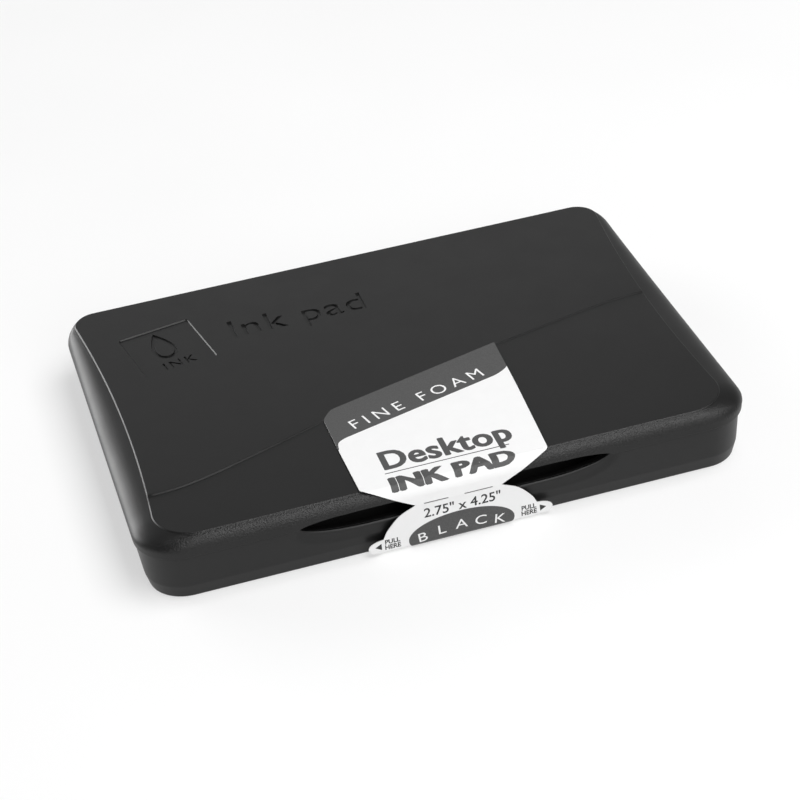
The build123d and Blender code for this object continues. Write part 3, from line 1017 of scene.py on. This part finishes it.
def soft_block(name, size, low, high, edge, crown, unevenness=0.0, hollow=None):
    """Foam block with rounded rims, a crowned top and slight unevenness.
    hollow is the thickness of its sides and the height of the space inside, open below."""
    half_x, half_y, radius = size
    turns = [math.pi / 2 * k / 6 for k in range(7)]
    lip = edge * 0.5
    profile = [(lip * (1 - math.sin(a)), low + lip * (1 - math.cos(a))) for a in turns]
    profile += [(0.05 + 0.12 * math.sin(math.pi * t), low + (high - low) * t) for t in (0.3, 0.5, 0.7)]
    profile += [(edge * (1 - math.cos(a)), high - crown - edge * (1 - math.sin(a))) for a in turns]
    depth = edge
    while depth < half_y - 1.6:
        depth = min(depth + (0.6 + depth * 0.12), half_y - 1.5)
        rise = crown * (1 - (1 - min(1.0, depth / (half_y * 0.55))) ** 2)
        profile.append((depth, high - crown + rise))
    rings = []
    for depth, z in profile:
        shape = plan(half_x - depth, half_y - depth, max(radius - depth * 0.6, 0.8))
        ring = []
        for x, y in outline_points(shape, front=even(44), right=even(30), left=even(30), steps=6):
            lift = 0.0
            if z > (low + high) / 2:
                lift = unevenness * (noise.noise(Vector((x * 0.11, y * 0.11, 3.7))) - 0.6)
            push = min(1.0, 1 + 0.0018 * noise.noise(Vector((x * 0.09, y * 0.09, z * 0.4))))
            ring.append((x * push, y * push, z + min(lift, 0.0) * min(1, depth + 0.2)))
        rings.append(ring)
    obj = mesh_object(name, *skin(rings))
    if hollow:
        wall, floor = hollow
        inner = (half_x - wall, half_y - wall, radius - wall)
        ceiling = (inner[0] - 3, inner[1] - 3, max(inner[2] - 3, 0.5))
        tool = solid("cut", box_profile([(*inner, low - 1, 0), (*inner, floor, 0.4), (*ceiling, floor, 0)]))
        tidy_mesh(obj)
        cut(obj, tool)
    return obj


def build_pad(skin_foam, core_foam, felt):
    top = soft_block("pad_top", PAD, SKIN_BOTTOM, PAD_TOP, edge=1.2, crown=0.28, unevenness=0.12,
                     hollow=(SKIN_WALL, PAD_TOP - SKIN_TOP))
    finish_piece(top, "base", [skin_foam], "pad_skin", PAD_SHARP)
    core_plan = [v - CORE_INSET for v in PAD]
    core = soft_block("pad_core", core_plan, SKIN_BOTTOM, PAD_TOP - 1.0, edge=0.6, crown=0.05)
    finish_piece(core, "base", [core_foam], "stamp_foam", PAD_SHARP)
    store = soft_block("ink_store", PAD, FLOOR_Z + 1, SKIN_BOTTOM, edge=0.8, crown=0.02)
    finish_piece(store, "base", [felt], "ink_reservoir", PAD_SHARP)


# ---- label

def label_stations(lift):
    """Side view (y, z) of the paper, this far outside the plastic, from the middle to the skirt."""
    line = [(0.0, LID_TOP + REAR_LIFT + lift - PAPER_GAP)]
    for k in range(ROLL_STEPS, -1, -1):
        height = k / ROLL_STEPS
        part = roll(height)
        line.append((SHOULDER_INSET * part - HALF_Y - lift,
                     SHOULDER_Z + height * (SHOULDER_TOP - SHOULDER_Z) + lift * part))
    line.append((-HALF_Y - lift, PERFORATION_Z - 0.5))
    return line


def lengths(line):
    """Distance along a line to each of its points."""
    out = [0.0]
    for (y0, z0), (y1, z1) in zip(line, line[1:]):
        out.append(out[-1] + math.hypot(y1 - y0, z1 - z0))
    return out


OUTER_LINE = label_stations(PAPER_GAP + PAPER)
OUTER_RUN = lengths(OUTER_LINE)


def label_v(y):
    """Flat height of a point of the label's top panel."""
    return y * OUTER_RUN[1] / -OUTER_LINE[1][0]


def label_v_at(z):
    """Flat height of a point of the label in front, from its height."""
    for k in range(1, len(OUTER_LINE) - 1):
        high, low = OUTER_LINE[k][1], OUTER_LINE[k + 1][1]
        if low <= z <= high:
            return -(OUTER_RUN[k] + (OUTER_RUN[k + 1] - OUTER_RUN[k]) * (high - z) / (high - low))
    return -OUTER_RUN[1]


def bell(distance, width):
    return math.exp(-(distance / width) ** 2)


def label_place(x, v, depth):
    """Where a flat point of the label is. It lies close, with a little play and two lifted corners."""
    run = -v
    k = max(i for i in range(len(OUTER_RUN) - 1) if OUTER_RUN[i] <= run or i == 0)
    share = (run - OUTER_RUN[k]) / (OUTER_RUN[k + 1] - OUTER_RUN[k])
    play = 0.05 * math.sin(x * 0.23 + 1.0) * math.sin(v * 0.19) ** 2
    curl = 0.3 * bell(x - 19.6, 1.7) * bell(v - label_v(-44.9), 1.6)
    curl += 0.1 * bell(x + 19.6, 2.2) * bell(v + 44.5, 2.0)
    lift = PAPER_GAP + PAPER * (1 - depth) + max(0.0, play) * bell(v + 28, 9) + curl
    line = label_stations(lift)
    (y0, z0), (y1, z1) = line[k], line[k + 1]
    return (x, y0 + (y1 - y0) * share, z0 + (z1 - z0) * share)


def strip(start, end, width):
    """Thin straight line of print."""
    a, b = Vector(start), Vector(end)
    across = (b - a).orthogonal().normalized() * width / 2
    return [a + across, a - across, b - across, b + across]


def on_panel(points):
    """Flat points (x, v, rounding) of the label from points (x, y, rounding) on the lid's top."""
    return [(x, label_v(y), width) for x, y, width in points]


def perforated(v, depth):
    """Edge with the slits of the perforation, from left to right."""
    return [(x, v + rise) for start, end in SLITS
            for x, rise in ((start, 0), (start, depth), (end, depth), (end, 0))]


def build_label(paper, back, grey, dark):
    """Label on the lid, from its top edge on the front panel to the perforation."""
    crease_v = label_v(-CREASE_Y)
    neck_v = label_v_at(PERFORATION_Z)
    outline = [
        *on_panel([(-19.6, -17.9, 0.9), (-17.3, -14.9, 1.1), (22.0, -4.2, 0.15), (21.1, -21.7, 0)]),
        (LABEL_HALF_CREASE + 0.1, crease_v - 0.6, 0.7), (LABEL_HALF_NECK, neck_v, 0),
        *[(x, v, 0) for x, v in reversed(perforated(neck_v, SLIT))],
        (-LABEL_HALF_NECK, neck_v, 0), (-LABEL_HALF_CREASE, crease_v, 0.5), *on_panel([(-19.5, -31.0, 0)]),
    ]
    left, right, below = -21.0, 23.5, -52.0
    field = eased(on_panel([
        (left, below, 0), (left, -33.0, 0), (-19.3, -29.2, 0.3), (-18.9, -26.4, 2.6), (18.6, -16.2, 1.2),
        (21.2, -14.6, 1.6), (22.3, -12.6, 0.2), (right, -12.4, 0), (right, below, 0),
    ]))
    top_band = [(-25, label_v(-60)), (28, label_v(-60)), (28, 2), (-25, 2)]
    header = letter_loops("FINE FOAM", 4.6, (0.9, label_v(-19.5)), turn=15.0, spacing=1.5, weight=-0.02)
    first = bold_lines("Desktop", 8.8, (0.8, label_v(-39.6)), 0.19, weight=0.12, stretch=0.86, spacing=1.05)
    second = bold_lines("INK PAD", 5.2, (-0.2, label_v_at(14.2)), 0.26, weight=0.14, stretch=1.28)
    rule = strip((-13.1, label_v(-40.95)), (12.8, label_v(-40.95)), 0.26)
    shapes = [(GREY, [top_band]), (PLAIN, [field]), (PLAIN, header), (DARK, [rule])]
    shapes += [(GREY, loops) for loops in first + second]
    bends = [-run for run in OUTER_RUN[1:-1]]
    obj = printed_sheet("label_sheet", eased(outline), shapes, bends, label_place)
    finish_piece(obj, "lid", [paper, back, grey, dark], "lid_label", PAPER_SHARP)


def seal_run(z):
    """Distance from the perforation down to a height, round the bend at the foot."""
    if z >= SEAL_LIFT + SEAL_BEND:
        return PERFORATION_Z - z
    turn = math.asin(min(1.0, (SEAL_LIFT + SEAL_BEND - z) / SEAL_BEND))
    return SEAL_STRAIGHT + SEAL_BEND * turn


def seal_place(x, v, depth):
    """Where a flat point of the tear tab is: down the base's front, round, and back under it."""
    run = -v
    thick = PAPER * depth
    if run <= SEAL_STRAIGHT:
        return (x, thick - SEAL_Y, PERFORATION_Z - run)
    turn = (run - SEAL_STRAIGHT) / SEAL_BEND
    if turn <= math.pi / 2:
        radius = SEAL_BEND - thick
        y = SEAL_BEND - SEAL_Y - radius * math.cos(turn)
        return (x, y, SEAL_LIFT + SEAL_BEND - radius * math.sin(turn))
    beyond = run - SEAL_STRAIGHT - SEAL_BEND * math.pi / 2
    return (x, SEAL_BEND - SEAL_Y + beyond, SEAL_LIFT + thick)


def build_seal(paper, back, grey, dark):
    """Tear tab below the perforation, stuck to the base."""
    flank = smooth_line([(9.0, 10.15), (12.4, 8.5), (15.0, 5.8), (16.1, 3.8)], 8)[1:-1]
    ear = smooth_line([(16.1, 3.8), (17.6, 3.55), (18.8, 3.0), (19.3, 2.2), (18.9, 1.2), (18.0, 0.6),
                       (17.0, 0.3)], 4)
    side = [(x, -seal_run(z)) for x, z in flank + ear]
    tail_v = -(seal_run(SEAL_LIFT) + SEAL_Y - SEAL_BEND - SEAL_TAIL_Y)
    outline = [(-9.0, 0), *perforated(0, -SLIT), (9.0, 0), *side, (SEAL_HALF, tail_v), (-SEAL_HALF, tail_v)]
    outline = [Vector(p) for p in outline + [(-x, v) for x, v in side[::-1]]]

    sizes = letter_loops('2.75" x 4.25"', 3.1, (0.6, -seal_run(6.75)), weight=0.045)
    oval = [(x, -seal_run(max(z, SEAL_LIFT)) - max(0.0, SEAL_LIFT - z))
            for x, z in ellipse((0.1, 1.9), 11.1, 4.55, 72)]
    word = []
    for letter, x in zip("BLACK", (-7.9, -3.9, 0.1, 4.1, 8.1)):
        foot = 2.1 - (x / 8) ** 2
        word += letter_loops(letter, 3.1, (x, -seal_run(foot)), turn=-7 * x / 8, stretch=1.25)
    small = []
    for way in (-1, 1):
        for text, z in (("PULL", 2.6), ("HERE", 1.3)):
            small += letter_loops(text, 1.5, (way * 14.3, -seal_run(z)), weight=0.05, stretch=0.95)
        small.append([(way * x, -seal_run(z)) for x, z in ((17.95, 2.25), (16.6, 3.0), (16.6, 1.45))])
    shapes = [(DARK, sizes), (GREY, [oval]), (PLAIN, word), (DARK, small)]
    bends = [-(SEAL_STRAIGHT + SEAL_BEND * math.pi / 2 * k / 8) for k in range(9)]
    obj = printed_sheet("tear_tab", outline, shapes, bends, seal_place)
    finish_piece(obj, "base", [paper, back, grey, dark], "tear_seal", PAPER_SHARP)


# ---- studio

def build_floor():
    """Plain pale ground with a gently rising rim far out."""
    profile = ((0.4, 0.0), (1.2, 0.0), (2.4, 0.0), (3.2, 0.12), (3.9, 0.5), (4.4, 1.2))
    rings = [[(x, y, z) for x, y in ellipse((0, 0), radius, radius, 96)] for radius, z in profile]
    floor = mesh_object("floor", *skin(rings, cap_last=False))
    tidy_mesh(floor)
    floor.data.shade_smooth()
    material = new_material("floor_paper", Roughness=0.9, Specular_IOR_Level=0.1,
                            Emission_Color=(1, 1, 1, 1), Emission_Strength=0.51)
    paint(material, grain(material, 9, 2.0), [(0.3, 0.4), (0.7, 0.42)])
    floor.data.materials.append(material)


def build_world(towards, levels, strength):
    """Dark surroundings, brighter one way. levels are (nearness to that way, grey)."""
    world = bpy.data.worlds.new("studio")
    bpy.context.scene.world = world
    world.use_nodes = True
    near = add(world, "VectorMath", operation="DOT_PRODUCT")
    near.inputs[1].default_value = Vector(towards).normalized()
    wire(add(world, "TexCoord").outputs["Generated"], near.inputs[0])
    sky = world.node_tree.nodes["Background"]
    sky.inputs["Strength"].default_value = strength
    wire(ramp(world, near.outputs["Value"], levels), sky.inputs["Color"])


def area_light(name, at, towards, size, power):
    data = bpy.data.lights.new(name, "AREA")
    data.shape = "RECTANGLE"
    data.size, data.size_y = size
    data.energy = power
    light = new_object(name, data)
    light.location = at
    light.rotation_mode = "QUATERNION"
    light.rotation_quaternion = (Vector(towards) - Vector(at)).to_track_quat("-Z", "Y")


def build_camera():
    azimuth = math.radians(-13.36)
    elevation = math.radians(33.747)
    tilt = math.radians(-5.758)
    distance = 0.485944
    slide = (0.001148, 0.003051)
    back = Vector((math.sin(azimuth) * math.cos(elevation), -math.cos(azimuth) * math.cos(elevation),
                   math.sin(elevation)))
    right = Vector((math.cos(azimuth), math.sin(azimuth), 0))
    up = back.cross(right)
    across = right * math.cos(tilt) + up * math.sin(tilt)
    upward = up * math.cos(tilt) - right * math.sin(tilt)
    data = bpy.data.cameras.new("camera")
    data.lens = 100.77
    data.clip_start = 0.01
    data.clip_end = 50
    camera = new_object("camera", data)
    camera.rotation_mode = "QUATERNION"
    camera.location = back * distance + right * slide[0] + up * slide[1]
    camera.rotation_quaternion = Matrix((across, upward, back)).transposed().to_quaternion()
    bpy.context.scene.camera = camera


def main():
    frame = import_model()

    build_camera()
    case = make_plastic("case_plastic", level=0.004, roughness=0.42, depth=0.005)
    coarse = make_plastic("case_plastic_grained", level=0.0045, roughness=0.42, depth=0.14, edge=GRAIN_Y)
    tray = make_plastic("tray_plastic", level=0.02, roughness=0.5, depth=0.015)
    paper = make_paper("label_paper", 0.79)
    # Painted shade: the tear tab's paper is the label paper made a little darker, for the tab hanging down
    # the front
    tab_paper_shaded = make_paper("tab_paper_shaded", 0.765)
    back = make_paper("label_back", 0.6, 0.8)
    grey = make_ink("print_grey", 0.07, 0.14)
    dark = make_ink("print_dark", 0.03, 0.12)

    build_lid(case, coarse)
    build_base(case)
    build_tray(tray)
    build_pins(make_steel())
    skin_foam = make_foam("pad_skin", level=0.014, roughness=0.6, pore=2000, depth=0.16)
    core_foam = make_foam("pad_foam", level=0.02, roughness=0.9, pore=1100, depth=0.3)
    build_pad(skin_foam, core_foam, make_felt())
    build_label(paper, back, grey, dark)
    build_seal(tab_paper_shaded, back, grey, dark)

    build_floor()
    glow = [(0.0, 0.04), (0.8, 0.05), (0.88, 0.16), (0.93, 0.6), (0.97, 1.0)]
    build_world((0.22, 0.96, 0.12), glow, strength=1.38)
    area_light("overhead", (0.42, -0.36, 1.0), (0.42, -0.36, 0), size=(0.76, 0.96), power=14.0)
    area_light("front", (0.16, -1.05, 0.62), (0.03, 0, 0), size=(0.76, 0.5), power=4.9)
    area_light("side", (-0.74, 0.88, 0.28), (0, 0, 0.02), size=(0.85, 0.62), power=10.5)
    bpy.context.scene.view_settings.view_transform = "Standard"


main()
